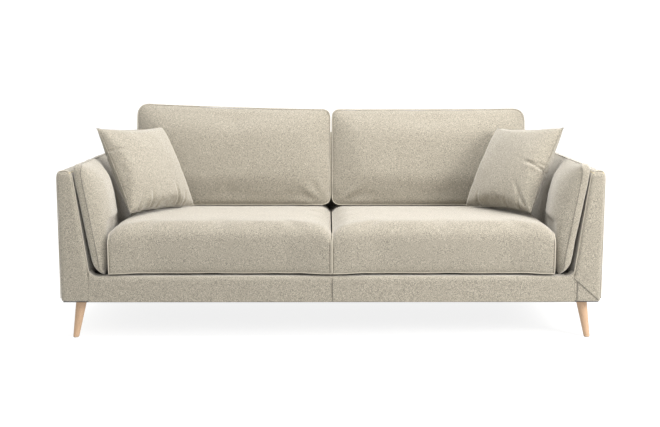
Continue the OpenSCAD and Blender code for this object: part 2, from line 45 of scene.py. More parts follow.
HALF_W = 1.05
FRONT_Y = -0.45
FOOT_Z, RAIL_Z, ARM_Z = 0.15, 0.25, 0.66
BACK_Y, BACK_TOP_Z = 0.45, 0.745
BACK_LEAN = math.radians(8)
LEAN = math.tan(BACK_LEAN)
# Where the rear face starts to lean, and how thick the backrest is on the level.
REAR_Y0 = BACK_Y - (BACK_TOP_Z - RAIL_Z) * LEAN
BACK_T = 0.088 / math.cos(BACK_LEAN)
# A place in a grid beyond this, of -1 to 1, is on the grid's face.
FACE = 0.999


def inner_x(z):
    """How far from the middle an arm's inner face is at a height."""
    z = np.asarray(z, float)
    low = 0.948 - 0.006 * (z - FOOT_Z) / (RAIL_Z - FOOT_Z)
    high = 0.942 + 0.056 * (z - RAIL_Z) / (ARM_Z - RAIL_Z)
    return np.where(z <= RAIL_Z, low, high)


def rear_y(z):
    """The rear face at a height: upright at the rail, then leaning back."""
    return REAR_Y0 + np.maximum(np.asarray(z, float) - RAIL_Z, 0) * LEAN


# ---- materials ----


class Nodes:
    """A new material and short calls to fill in its nodes."""

    def __init__(self, name):
        self.mat = bpy.data.materials.new(name)
        self.mat.use_nodes = True
        self.tree = self.mat.node_tree
        self.tree.nodes.clear()
        self.out = self.tree.nodes.new("ShaderNodeOutputMaterial")
        self.coords = self.tree.nodes.new("ShaderNodeTexCoord")
        self.where = self.coords.outputs["Object"]

    def node(self, kind, inputs, **props):
        n = self.tree.nodes.new("ShaderNode" + kind)
        for k, v in props.items():
            setattr(n, k, v)
        for k, v in inputs.items():
            if isinstance(v, bpy.types.NodeSocket):
                self.tree.links.new(v, n.inputs[k])
            else:
                n.inputs[k].default_value = v
        return n

    def math(self, op, a, b=0.0):
        return self.node("Math", {0: a, 1: b}, operation=op).outputs[0]

    def scaled(self, x, y, z):
        return self.node("VectorMath", {0: self.where, 1: (x, y, z)}, operation="MULTIPLY").outputs[0]

    def noise(self, vector, scale=1.0, detail=2.0, rough=0.5):
        inputs = {"Vector": vector, "Scale": scale, "Detail": detail, "Roughness": rough}
        return self.node("TexNoise", inputs).outputs["Fac"]

    def ramp(self, fac, low, high, to_low=0.0, to_high=1.0):
        inputs = {"Value": fac, "From Min": low, "From Max": high, "To Min": to_low, "To Max": to_high}
        return self.node("MapRange", inputs).outputs["Result"]

    def mix(self, fac, a, b):
        a, b = ((*c, 1) if isinstance(c, tuple) else c for c in (a, b))
        return self.node("Mix", {0: fac, 6: a, 7: b}, data_type="RGBA").outputs[2]

    def bump(self, height, distance, strength=1.0, normal=None):
        inputs = {"Height": height, "Distance": distance, "Strength": strength}
        if normal is not None:
            inputs["Normal"] = normal
        return self.node("Bump", inputs).outputs[0]

    def finish(self, **inputs):
        shader = self.node("BsdfPrincipled", inputs)
        self.tree.links.new(shader.outputs[0], self.out.inputs[0])
        return self.mat


def fabric(name, base, contrast):
    """A heathered plain weave of 2 mm yarns. The threads follow whichever axis plane the surface faces."""
    n = Nodes(name)
    normal = n.node("SeparateXYZ", {0: n.coords.outputs["Normal"]})
    nx, ny, nz = (n.math("ABSOLUTE", normal.outputs[i]) for i in range(3))
    at = n.node("SeparateXYZ", {0: n.where}).outputs
    faces_x = n.math("MULTIPLY", n.math("GREATER_THAN", nx, ny), n.math("GREATER_THAN", nx, nz))
    faces_z = n.math("MULTIPLY", n.math("GREATER_THAN", nz, ny), n.math("GREATER_THAN", nz, nx))

    def pick(fac, a, b):
        return n.node("Mix", {0: fac, 2: a, 3: b}, data_type="FLOAT").outputs[0]

    across = pick(faces_x, at[0], at[1])
    along = pick(faces_z, at[2], at[1])
    pitch = math.pi / 0.0019
    over = n.math(
        "MULTIPLY",
        n.math("SINE", n.math("MULTIPLY", across, pitch)),
        n.math("SINE", n.math("MULTIPLY", along, pitch)),
    )

    def slubs(a, b):
        vector = n.node("CombineXYZ", {0: n.math("MULTIPLY", across, a), 1: n.math("MULTIPLY", along, b)})
        return n.noise(vector.outputs[0], 1.0, 2.0, 0.6)

    warp, weft = slubs(460.0, 95.0), slubs(95.0, 460.0)
    thread = pick(n.math("GREATER_THAN", over, 0.0), weft, warp)
    heather = n.noise(n.where, 430.0, 2.0, 0.7)
    cloud = n.noise(n.where, 7.0, 2.0, 0.5)
    dark = tuple(c * (1 - 0.30 * contrast) for c in base)
    light = tuple(min(1.0, c * (1 + 0.20 * contrast)) for c in base)
    tone = n.math("ADD", n.math("MULTIPLY", thread, 0.35), n.math("MULTIPLY", heather, 0.65))
    colour = n.mix(n.ramp(tone, 0.36, 0.64), dark, light)
    colour = n.mix(n.ramp(cloud, 0.35, 0.65, 0.0, 0.10), colour, tuple(c * 0.72 for c in base))
    height = n.math("ADD", n.math("POWER", n.math("ABSOLUTE", over), 0.6), n.math("MULTIPLY", thread, 0.7))
    weave = n.bump(height, 0.00045, 0.55)
    relief = n.bump(n.noise(n.where, 30.0, 2.0, 0.5), 0.0010, 0.15, weave)
    return n.finish(
        **{
            "Base Color": colour,
            "Roughness": 0.93,
            "Specular IOR Level": 0.18,
            "Sheen Weight": 0.60,
            "Sheen Roughness": 0.55,
            "Sheen Tint": (1.0, 0.96, 0.90, 1.0),
            "Normal": relief,
        }
    )


def wood(name, base, dark, coat):
    """Straight-grained timber, with its grain up the piece, growth rings and short dark flecks."""
    n = Nodes(name)
    wander = n.noise(n.scaled(9, 9, 1.6), 1.0, 2.0, 0.5)
    across = n.node("SeparateXYZ", {0: n.where}).outputs[0]
    bands = n.math("SINE", n.math("MULTIPLY", n.math("ADD", n.math("MULTIPLY", wander, 2.4), across), 312.0))
    fibre = n.noise(n.scaled(900, 900, 26), 1.0, 3.0, 0.65)
    fleck = n.noise(n.scaled(520, 300, 60), 1.0, 1.0, 0.5)
    colour = n.mix(n.ramp(bands, -1, 1, 0.0, 0.45), base, dark)
    colour = n.mix(n.ramp(fibre, 0.35, 0.75, 0.0, 0.35), colour, dark)
    colour = n.mix(n.ramp(fleck, 0.66, 0.72, 0.0, 0.5), colour, tuple(c * 0.45 for c in dark))
    height = n.math("ADD", fibre, n.math("MULTIPLY", bands, 0.15))
    return n.finish(
        **{
            "Base Color": colour,
            "Roughness": n.ramp(fibre, 0.3, 0.7, 0.42, 0.58),
            "Coat Weight": coat,
            "Coat Roughness": 0.35,
            "Normal": n.bump(height, 0.0003, 0.35),
        }
    )


def sawn(name, base, dark):
    """Sawn frame timber, with its grain along the piece's length, which is across the sofa or up it."""
    n = Nodes(name)
    fibre = n.noise(n.scaled(60, 420, 420), 1.0, 4.0, 0.65)
    bands = n.noise(n.scaled(3, 60, 60), 1.0, 2.0, 0.5)
    saw = n.math("SINE", n.math("MULTIPLY", n.node("SeparateXYZ", {0: n.where}).outputs[0], 1900.0))
    colour = n.mix(n.ramp(bands, 0.35, 0.65, 0.0, 0.6), base, dark)
    colour = n.mix(n.ramp(fibre, 0.4, 0.75, 0.0, 0.4), colour, dark)
    height = n.math("ADD", fibre, n.math("MULTIPLY", saw, 0.12))
    return n.finish(**{"Base Color": colour, "Roughness": n.ramp(fibre, 0.3, 0.7, 0.65, 0.85),
                       "Normal": n.bump(height, 0.0005, 0.5)})


def hardboard():
    """Pressed brown board with fine fibres and a dimpled screen side."""
    n = Nodes("hardboard")
    fibre = n.noise(n.where, 620.0, 4.0, 0.7)
    patch = n.noise(n.where, 24.0, 2.0, 0.5)
    colour = n.mix(n.ramp(fibre, 0.35, 0.65), (0.19, 0.115, 0.06), (0.33, 0.22, 0.125))
    colour = n.mix(n.ramp(patch, 0.4, 0.7, 0.0, 0.3), colour, (0.15, 0.09, 0.05))
    return n.finish(**{"Base Color": colour, "Roughness": n.ramp(patch, 0.3, 0.7, 0.5, 0.75),
                       "Normal": n.bump(fibre, 0.0003, 0.5)})


def metal(name, base, rough):
    """Zinc-plated or nickel-plated metal with faint rub marks."""
    n = Nodes(name)
    rub = n.noise(n.scaled(1400, 160, 1400), 1.0, 2.0, 0.6)
    spots = n.noise(n.where, 90.0, 3.0, 0.6)
    colour = n.mix(n.ramp(spots, 0.4, 0.7, 0.0, 0.5), base, tuple(c * 0.7 for c in base))
    return n.finish(**{"Base Color": colour, "Metallic": 1.0,
                       "Roughness": n.ramp(rub, 0.3, 0.7, rough - 0.075, rough + 0.15),
                       "Normal": n.bump(rub, 0.00008, 0.4)})


def foam():
    """Cut polyurethane foam: open cells of about a millimetre and a slightly yellowed skin."""
    n = Nodes("foam")
    cells = n.node("TexVoronoi", {"Vector": n.where, "Scale": 900.0}).outputs["Distance"]
    patch = n.noise(n.where, 16.0, 2.0, 0.5)
    colour = n.mix(n.ramp(patch, 0.35, 0.65), (0.82, 0.74, 0.50), (0.72, 0.62, 0.38))
    colour = n.mix(n.ramp(cells, 0.05, 0.45), colour, (0.55, 0.46, 0.27))
    return n.finish(**{"Base Color": colour, "Roughness": n.ramp(patch, 0.3, 0.7, 0.85, 0.98),
                       "Normal": n.bump(cells, 0.0006, 0.6)})


def felted(name, base, scale=480.0):
    """Non-woven cloth: pressed fibres with a fine dimpled bond."""
    n = Nodes(name)
    fibre = n.noise(n.scaled(1.0, 1.7, 1.3), scale, 4.0, 0.7)
    bond = n.node("TexVoronoi", {"Vector": n.where, "Scale": 330.0}).outputs["Distance"]
    colour = n.mix(n.ramp(fibre, 0.35, 0.68), tuple(c * 0.7 for c in base), tuple(c * 1.25 for c in base))
    height = n.math("ADD", fibre, n.math("MULTIPLY", bond, 0.5))
    return n.finish(**{"Base Color": colour, "Roughness": n.ramp(fibre, 0.3, 0.7, 0.85, 0.98),
                       "Normal": n.bump(height, 0.0004, 0.6)})


def strap(name, base, stripe):
    """Woven elastic webbing with lengthwise stripes."""
    n = Nodes(name)
    at = n.node("SeparateXYZ", {0: n.where}).outputs
    rib = n.math("MULTIPLY", n.math("SINE", n.math("MULTIPLY", at[0], 1500.0)),
                 n.math("SINE", n.math("MULTIPLY", at[2], 1900.0)))
    lines = n.math("SINE", n.math("MULTIPLY", at[0], 420.0))
    colour = n.mix(n.ramp(lines, 0.55, 0.7, 0.0, 0.8), base, stripe)
    colour = n.mix(n.ramp(rib, -0.2, 0.8, 0.0, 0.35), colour, tuple(c * 1.6 for c in base))
    return n.finish(**{"Base Color": colour, "Roughness": n.ramp(rib, -1, 1, 0.75, 0.92),
                       "Normal": n.bump(rib, 0.0005, 0.6)})


BEIGE = (0.306, 0.277, 0.221)
CLOTH = fabric("upholstery_fabric", BEIGE, 2.6)
# The seam lips' cloth: the fabric made lighter, a painted highlight where the raised edges catch the light.
LIP_HIGHLIGHT = fabric("upholstery_seam_painted_highlight", tuple(c * 1.45 for c in BEIGE), 0.9)
# The seam lines' cloth: the fabric made darker, painted shade in the grooves of sewn seams.
SEAM_SHADE = fabric("upholstery_fold_painted_shade", tuple(c * 0.42 for c in BEIGE), 0.8)
BEECH = wood("leg_beech", (0.50, 0.335, 0.210), (0.39, 0.240, 0.138), 0.18)
TIMBER = sawn("frame_pine", (0.62, 0.45, 0.27), (0.47, 0.31, 0.16))
BOARD = hardboard()
STEEL = metal("zinc_steel", (0.62, 0.63, 0.64), 0.36)
NICKEL = metal("nickel_zip", (0.66, 0.63, 0.56), 0.28)
FOAM = foam()
DECK = felted("deck_cloth", (0.10, 0.094, 0.083))
DUST = felted("dust_cloth", (0.026, 0.025, 0.024))
GLIDE = felted("glide_felt", (0.42, 0.39, 0.35), 900.0)
WEBBING = strap("back_webbing", (0.035, 0.034, 0.032), (0.35, 0.31, 0.22))


# ---- meshes ----

TINY = 1e-9


class Grid:
    """The skin of a box of cells as one closed quad mesh. ``at`` finds a point by its place in the box."""

    def __init__(self, nx, ny, nz):
        self.n = (nx, ny, nz)
        self.at, self.places, self.faces = {}, [], []
        for axis in range(3):
            a, b = [i for i in range(3) if i != axis]
            for end in (0, self.n[axis]):
                for i in range(self.n[a]):
                    for j in range(self.n[b]):
                        ring = []
                        for da, db in ((0, 0), (1, 0), (1, 1), (0, 1)):
                            place = [0, 0, 0]
                            place[axis], place[a], place[b] = end, i + da, j + db
                            ring.append(self.point(tuple(place)))
                        self.faces.append(ring if (end > 0) == (axis != 1) else ring[::-1])

    def point(self, place):
        if place not in self.at:
            self.at[place] = len(self.places)
            self.places.append(place)
        return self.at[place]

    def unit(self):
        """Each point's place, from -1 to 1 on each axis."""
        return 2 * np.array(self.places, float) / np.array(self.n) - 1

    def loop(self, axis, index):
        """The points round the box at one place along an axis, in order."""
        a, b = [i for i in range(3) if i != axis]
        na, nb = self.n[a], self.n[b]
        path = [(i, 0) for i in range(na)] + [(na, j) for j in range(nb)]
        path += [(i, nb) for i in range(na, 0, -1)] + [(0, j) for j in range(nb, 0, -1)]
        out = []
        for i, j in path:
            place = [0, 0, 0]
            place[axis], place[a], place[b] = index, i, j
            out.append(self.at[tuple(place)])
        return out


def mesh_object(name, points, faces, material, smooth=True):
    """A mesh object from points and faces, with one material."""
    mesh = bpy.data.meshes.new(name)
    mesh.from_pydata([tuple(p) for p in points], [], faces)
    mesh.validate()
    mesh.materials.append(material)
    if smooth:
        mesh.shade_smooth()
    obj = bpy.data.objects.new(name, mesh)
    bpy.context.scene.collection.objects.link(obj)
    return obj


def coords(obj):
    """A mesh's points, as an array."""
    return np.array([v.co for v in obj.data.vertices], float)


def set_coords(obj, points):
    """Puts an array of points back into a mesh."""
    obj.data.vertices.foreach_set("co", np.asarray(points, np.float32).ravel())
    obj.data.update()


def applied(obj):
    """Applies the object's modifiers to its mesh."""
    depsgraph = bpy.context.evaluated_depsgraph_get()
    mesh = bpy.data.meshes.new_from_object(obj.evaluated_get(depsgraph))
    old = obj.data
    obj.modifiers.clear()
    obj.data = mesh
    bpy.data.meshes.remove(old)


def subdivided(obj, levels=1):
    """Subdivides a mesh smoothly."""
    mod = obj.modifiers.new("smooth", "SUBSURF")
    mod.levels = mod.render_levels = levels
    applied(obj)


def puffed(obj, pressure, reach, stiff, bend, frames=20):
    """Swells a closed mesh as stuffed cloth, moving no point further than its reach."""
    start = coords(obj)
    scene = bpy.context.scene
    scene.frame_set(1)
    mod = obj.modifiers.new("cloth", "CLOTH")
    s = mod.settings
    s.quality = 6
    s.mass = 0.3
    s.tension_stiffness = s.compression_stiffness = stiff
    s.shear_stiffness = stiff / 2
    s.bending_stiffness = bend
    s.air_damping = 2.0
    s.use_pressure = True
    s.uniform_pressure_force = pressure
    s.effector_weights.gravity = 0.0
    mod.collision_settings.use_collision = False
    mod.collision_settings.use_self_collision = False
    mod.point_cache.frame_start, mod.point_cache.frame_end = 1, frames
    for f in range(1, frames + 1):
        scene.frame_set(f)
    applied(obj)
    scene.frame_set(1)
    moved = coords(obj) - start
    length = np.linalg.norm(moved, axis=1, keepdims=True)
    reach = np.broadcast_to(np.reshape(reach, (-1, 1)), length.shape)
    set_coords(obj, start + moved * np.tanh(length / reach) * reach / np.maximum(length, TINY))


def eased(value):
    """From 0 to 1 with a soft start and end."""
    t = np.clip(value, 0, 1)
    return t * t * (3 - 2 * t)


def seam_reach(points, seams, near, far, width):
    """How far each point may swell: a little at the seams, and more away from them."""
    lines = np.vstack([points[seam] for seam in seams])
    gap = np.array([np.sqrt(((lines - p) ** 2).sum(1).min()) for p in points])
    return near + (far - near) * eased(gap / width)


def core(name, cover, faces, depth, body, node, shape=None):
    """The filling inside a cover: its mesh, taken in by a depth or by a share of its size."""
    if shape is None:
        obj = mesh_object(name, coords(cover) - vertex_normals(cover) * depth, faces, FOAM)
        smooth_points(obj, 3)
    else:
        obj = mesh_object(name, coords(cover) * np.array(shape), faces, FOAM)
    obj.matrix_world = cover.matrix_world.copy()
    piece(obj, body)
    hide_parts(node)


def vertex_normals(obj):
    """A mesh's normals at its points, as an array."""
    return np.array([v.normal for v in obj.data.vertices], float)


def smooth_points(obj, times):
    """Evens out a mesh's points, each halfway to the mean of its neighbours every time."""
    mesh = obj.data
    edges = np.array([e.vertices[:] for e in mesh.edges])
    points = coords(obj)
    count = np.zeros(len(points))
    np.add.at(count, edges.ravel(), 1)
    for _ in range(times):
        total = np.zeros_like(points)
        np.add.at(total, edges[:, 0], points[edges[:, 1]])
        np.add.at(total, edges[:, 1], points[edges[:, 0]])
        points = points + 0.5 * (total / count[:, None] - points)
    set_coords(obj, points)


def soft_limit(value, limit, give):
    """Values below a limit stay; those above it are pressed back, and end no further than give past it."""
    over = value - (limit - give)
    return np.where(over > 0, limit - give + give * (1 - np.exp(-over / give)), value)


def soft_floor(value, limit, give):
    """Values above a limit stay, and those below it are pressed back, as in soft_limit."""
    return -soft_limit(-value, -limit, give)


def tube(name, path, radius, material, closed=True, flat=1.0):
    """A cord of sewn cloth along a line of points. A seam's lip is one of these, half sunk in the cover."""
    sides, count = 6, len(path)
    points, faces = [], []
    side = None
    for i, p in enumerate(path):
        before = path[i - 1] if closed or i else path[0]
        after = path[(i + 1) % count] if closed or i < count - 1 else path[-1]
        run = (after - before).normalized()
        if side is None:
            side = run.orthogonal().normalized()
        side = (side - run * side.dot(run)).normalized()
        other = run.cross(side)
        r = radius * (1 + 0.10 * noise.noise(p * 45.0))
        for k in range(sides):
            angle = 2 * math.pi * k / sides
            points.append(p + side * r * math.cos(angle) + other * r * flat * math.sin(angle))
    rings = count if closed else count - 1
    for i in range(rings):
        j = (i + 1) % count
        for k in range(sides):
            m = (k + 1) % sides
            faces.append((i * sides + k, i * sides + m, j * sides + m, j * sides + k))
    if not closed:
        faces.append(tuple(range(sides))[::-1])
        faces.append(tuple((count - 1) * sides + k for k in range(sides)))
    return mesh_object(name, points, faces, material)


def even_path(points, step, closed=True):
    """A line of points at an even step along another."""
    points = list(points) + ([points[0]] if closed else [])
    lengths = [0.0]
    for a, b in zip(points, points[1:]):
        lengths.append(lengths[-1] + (b - a).length)
    count = max(8, int(lengths[-1] / step))
    out, k = [], 0
    for i in range(count if closed else count + 1):
        want = lengths[-1] * i / count
        while k < len(lengths) - 2 and lengths[k + 1] < want:
            k += 1
        gap = lengths[k + 1] - lengths[k]
        out.append(points[k].lerp(points[k + 1], (want - lengths[k]) / gap if gap > 0 else 0.0))
    return out


def smoothed_path(points, closed):
    """A line of points with its kinks evened out."""
    pts = np.array(points)
    if closed:
        pts = 0.5 * pts + 0.25 * (np.roll(pts, 1, 0) + np.roll(pts, -1, 0))
    else:
        pts[1:-1] = 0.5 * pts[1:-1] + 0.25 * (pts[:-2] + pts[2:])
    return [Vector(p) for p in pts]


def sewn_edge(points, ring, step):
    """The seam's lip along the ring of a cover's points, which is cut at its one long gap. It is in the
    lighter cloth, a painted highlight along the edge.
    """
    jumps = [np.abs(points[ring[k]] - points[ring[k - 1]]).max() for k in range(len(ring))]
    start = int(np.argmax(jumps))
    line = smoothed_path(points[ring[start:] + ring[:start]], False)
    return tube("lip", even_path(line, step, False), 0.0019, LIP_HIGHLIGHT, False)


def joined(name, objects):
    """Several meshes as one piece, each with its own material."""
    bm = bmesh.new()
    materials = []
    for obj in objects:
        material = obj.data.materials[0]
        if material not in materials:
            materials.append(material)
        first = len(bm.faces)
        bm.from_mesh(obj.data)
        bm.faces.ensure_lookup_table()
        for f in bm.faces[first:]:
            f.material_index = materials.index(material)
    mesh = bpy.data.meshes.new(name)
    bm.to_mesh(mesh)
    bm.free()
    for m in materials:
        mesh.materials.append(m)
    mesh.shade_smooth()
    for obj in objects:
        bpy.data.objects.remove(obj)
    out = bpy.data.objects.new(name, mesh)
    bpy.context.scene.collection.objects.link(out)
    return out


def piece(obj, body):
    """Says which body a mesh rides on."""
    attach(obj, body)


def wrinkled(points, normals, amount, scale, seed):
    """Points pushed along their normals by soft, long folds."""
    out = points.copy()
    for i, p in enumerate(points):
        out[i] += normals[i] * amount * noise.noise(Vector(p) * scale + Vector((seed, seed * 2.3, -seed)))
    return out


def rounded_outline(a, b, low, high, radii):
    """Moves points in a rectangle so that its corners are round. radii is for the corners in the order
    low-low, high-low, high-high and low-high."""
    mid_a, mid_b = (low[0] + high[0]) / 2, (low[1] + high[1]) / 2
    half_a, half_b = (high[0] - low[0]) / 2, (high[1] - low[1]) / 2
    right_of, above = a > mid_a, b > mid_b
    r = np.where(above, np.where(right_of, radii[2], radii[3]), np.where(right_of, radii[1], radii[0]))
    core_a = np.clip(a - mid_a, -(half_a - r), half_a - r)
    core_b = np.clip(b - mid_b, -(half_b - r), half_b - r)
    da, db = a - mid_a - core_a, b - mid_b - core_b
    length, reach = np.hypot(da, db), np.maximum(np.abs(da), np.abs(db))
    scale = np.where(length > TINY, reach / np.maximum(length, TINY), 1)
    return mid_a + core_a + da * scale, mid_b + core_b + db * scale


def turned_edge(gap, radius):
    """How far a face falls back at a distance from its outline, where it turns over a rounded edge."""
    t = np.clip(1 - gap / radius, 0, 1)
    return radius * (1 - np.sqrt(np.clip(1 - t * t, 0, 1)))


def crowned(a, b):
    """A panel's fullness, from 0 at its edges, where a or b is -1 or 1, to 1 in the middle."""
    return np.sqrt(np.clip((1 - np.abs(a) ** 4) * (1 - np.abs(b) ** 3), 0, 1))


def seam_lips(name, obj, seams, edges, body):
    """The raised lip of cloth along each sewn edge of a cushion, in a lighter cloth that is a painted
    highlight. seams run right round it, and edges end at them. An arm pad's seam is pressed open instead, so
    it shows as a thin fold in a darker cloth, which is painted shade."""
    flat = name.startswith("arm_pad")
    # Raised lips are in the lighter cloth, a painted highlight. A pressed-open seam is in the darker cloth,
    # painted shade.
    lift, radius, cloth = (0.0002, 0.0011, SEAM_SHADE) if flat else (0.0013, 0.0023, LIP_HIGHLIGHT)
    points, normals = coords(obj), vertex_normals(obj)
    lips = []
    for closed, rows in ((True, seams), (False, edges)):
        for row in rows:
            line = smoothed_path(points[row] + normals[row] * lift, closed)
            lips.append(tube("lip", even_path(line, 0.006, closed), radius, cloth, closed))
    piece(joined(name, lips), body)


def facing_out(faces, sign):
    """The faces turned round where the shape is mirrored to the left."""
    return [ring[::-1] for ring in faces] if sign < 0 else faces


def mirrored(obj, sign):
    """Puts a shape that was made for the right side on its own side."""
    if sign < 0:
        set_coords(obj, coords(obj) * np.array([-1, 1, 1]))
        obj.data.flip_normals()


def finished_cushion(kind, side, obj, grid_faces, seams, edges, folds, scale, fill, depth, filling):
    """The lips, filling and last smoothing that every boxed cushion gets."""
    sign = SIDES[side]
    body = f"{kind}_{side}"
    seam_lips(f"{kind}_seams_{side}", obj, seams, edges, body)
    core(f"{kind}_filling_{side}", obj, facing_out(grid_faces, sign), depth, body, f"{filling}_{side}")
    subdivided(obj)
    set_coords(obj, wrinkled(coords(obj), vertex_normals(obj), folds, scale, 3.1 * sign + fill))
    piece(obj, body)
    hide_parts(body)


# ---- the seat cushions ----

# Half the gap between two cushions side by side, before their lips.
SIDE_GAP = 0.0018


def seat_cushion(side):
    """The front and the top are one panel, with a boxed gusset down each side."""
    grid = Grid(62, 56, 16)
    u = grid.unit()
    low, high = (0.0024, 0.2540), (0.8702, 0.4460)
    x = (low[0] + high[0]) / 2 + u[:, 0] * (high[0] - low[0]) / 2
    z = (low[1] + high[1]) / 2 + u[:, 2] * (high[1] - low[1]) / 2
    # A wide turn over the front edge, and a narrow one under it.
    y, z = rounded_outline(-0.0865 + u[:, 1] * 0.3635, z, (FRONT_Y, low[1]), (0.277, high[1]),
                           (0.020, 0.012, 0.022, 0.052))
    # The top panel falls away towards its side seams, and the gussets turn in at their edges.
    near_side = np.clip((np.abs(u[:, 0]) - 0.86) / 0.14, 0, 1)
    z = z - 0.030 * near_side ** 2.2 * np.clip((z - 0.30) / 0.145, 0, 1)
    gusset = np.sign(u[:, 0]) * (np.abs(u[:, 0]) > FACE)
    x = x - gusset * 0.010 * np.clip((z - 0.385) / 0.04, 0, 1) ** 2
    ends = (1 - np.abs(u[:, 1])) * 0.36
    x = x - gusset * turned_edge(np.minimum(ends, z - low[1]), 0.0035)
    # The top and the front are crowned.
    middle = np.clip(1 - u[:, 0] ** 2, 0, 1)
    z = z + 0.010 * middle * np.clip(1 - ((y + 0.17) / 0.30) ** 2, 0, 1) * (u[:, 2] > 0.5)
    y = y - 0.005 * middle * np.clip(1 - u[:, 2] ** 2, 0, 1) * (u[:, 1] < -FACE)
    obj = mesh_object(f"seat_cushion_cover_{side}", np.column_stack([x, y, z]), grid.faces, CLOTH)
    seams = [grid.loop(0, 0), grid.loop(0, grid.n[0])]
    edges = [[grid.at[i, j, 0] for i in range(grid.n[0] + 1)] for j in (0, grid.n[1])]
    reach = seam_reach(coords(obj), seams, near=0.003, far=0.020, width=0.18)
    puffed(obj, pressure=3.0, reach=reach, stiff=18.0, bend=0.8)
    p = coords(obj)
    # Its sewn edge comes up to its neighbour's.
    seam_x = 0.0043
    p[:, 0] -= (p[seams[0], 0].mean() - seam_x) * np.clip(1 - p[:, 0] / 0.15, 0, 1)
    # It lies flat on the deck and against its neighbours, and is pressed down under the back cushion.
    deck_z, pad_x, rest, front, top, pressed = 0.2535, 0.8705, 0.2775, -0.4570, 0.466, 0.0185
    p[:, 2] = soft_floor(p[:, 2], deck_z, 0.003)
    p[:, 0] = soft_floor(p[:, 0], SIDE_GAP, 0.003)
    p[:, 0] = soft_limit(p[:, 0], pad_x, 0.003)
    p[:, 1] = soft_limit(p[:, 1], rest, 0.003)
    p[:, 1] = soft_floor(p[:, 1], front, 0.008)
    p[:, 2] = soft_limit(p[:, 2], top - pressed * np.clip(p[:, 1] / 0.10, 0, 1), 0.012)
    set_coords(obj, p)
    mirrored(obj, SIDES[side])
    finished_cushion("seat_cushion", side, obj, grid.faces, seams, edges, folds=0.0014, scale=9.0,
                     fill=0.85, depth=0.009, filling="seat_foam")


# ---- the back cushions ----


def rest_y(z):
    """The face that a back cushion's rear leans on."""
    return rear_y(z) - BACK_T - 0.009


def back_cushion(side):
    """A front and a rear panel with a boxed edge, standing on the seat and leaning on the backrest."""
    grid = Grid(62, 14, 34)
    u = grid.unit()
    low, high = (0.0024, 0.4510), (0.8602, 0.8660)
    x = (low[0] + high[0]) / 2 + u[:, 0] * (high[0] - low[0]) / 2
    z = (low[1] + high[1]) / 2 + u[:, 2] * (high[1] - low[1]) / 2
    x, z = rounded_outline(x, z, low, high, (0.030, 0.026, 0.046, 0.030))
    up = np.clip((z - 0.45) / 0.415, 0, 1)
    thick = 0.190 - 0.036 * up
    # Thinner towards the seams, so that the panels crown between them.
    pull = 0.60 + 0.42 * crowned(2 * (x - low[0]) / (high[0] - low[0]) - 1, 2 * up - 1)
    y = rest_y(z) - 0.003 - thick / 2 + u[:, 1] * thick / 2 * pull
    # The edges are square to the lean, so the top falls away to the rear.
    z = z - (u[:, 1] + 1) / 2 * thick * 0.16 * up ** 4
    # The left cushion is stuffed fuller, and its outer top corner stands higher.
    rise = {"left": 0.026, "right": 0.003}[side]
    z = z + rise * np.clip(x / 0.86, 0, 1) ** 1.3 * up ** 2
    # Its lower front edge sags forwards over the seat.
    y = y - 0.012 * np.clip((0.53 - z) / 0.07, 0, 1) * (u[:, 1] < 0.5) * np.clip(1 - u[:, 0] ** 4, 0, 1)
    obj = mesh_object(f"back_cushion_cover_{side}", np.column_stack([x, y, z]), grid.faces, CLOTH)
    seams = [grid.loop(1, 0), grid.loop(1, grid.n[1])]
    reach = seam_reach(coords(obj), seams, near=0.003, far=0.022, width=0.14)
    puffed(obj, pressure=3.0, reach=reach, stiff=18.0, bend=0.8)
    p = coords(obj)
    seat_z = 0.4498
    p[:, 2] = soft_floor(p[:, 2], seat_z, 0.004)
    p[:, 0] = soft_floor(p[:, 0], SIDE_GAP, 0.003)
    p[:, 1] = rest_y(p[:, 2]) + soft_limit(p[:, 1] - rest_y(p[:, 2]), -0.0005, 0.004)
    # Gathers run in from the lower corners.
    length, depth = 0.17, 0.0042
    for q in p:
        for corner in (0.03, 0.83):
            away = math.hypot(q[0] - corner, (q[2] - 0.455) * 1.1)
            if q[1] < rest_y(q[2]) - 0.08 and away < length:
                turn = math.atan2(q[2] - 0.45, abs(q[0] - corner) + 0.01)
                q[1] -= depth * math.sin(turn * 11 + corner) * math.sin(math.pi * away / length) ** 1.5
    set_coords(obj, p)
    mirrored(obj, SIDES[side])
    finished_cushion("back_cushion", side, obj, grid.faces, seams, [], folds=0.0022, scale=7.0,
                     fill=0.8, depth=0.009, filling="back_fill")


# ---- the arm pads ----


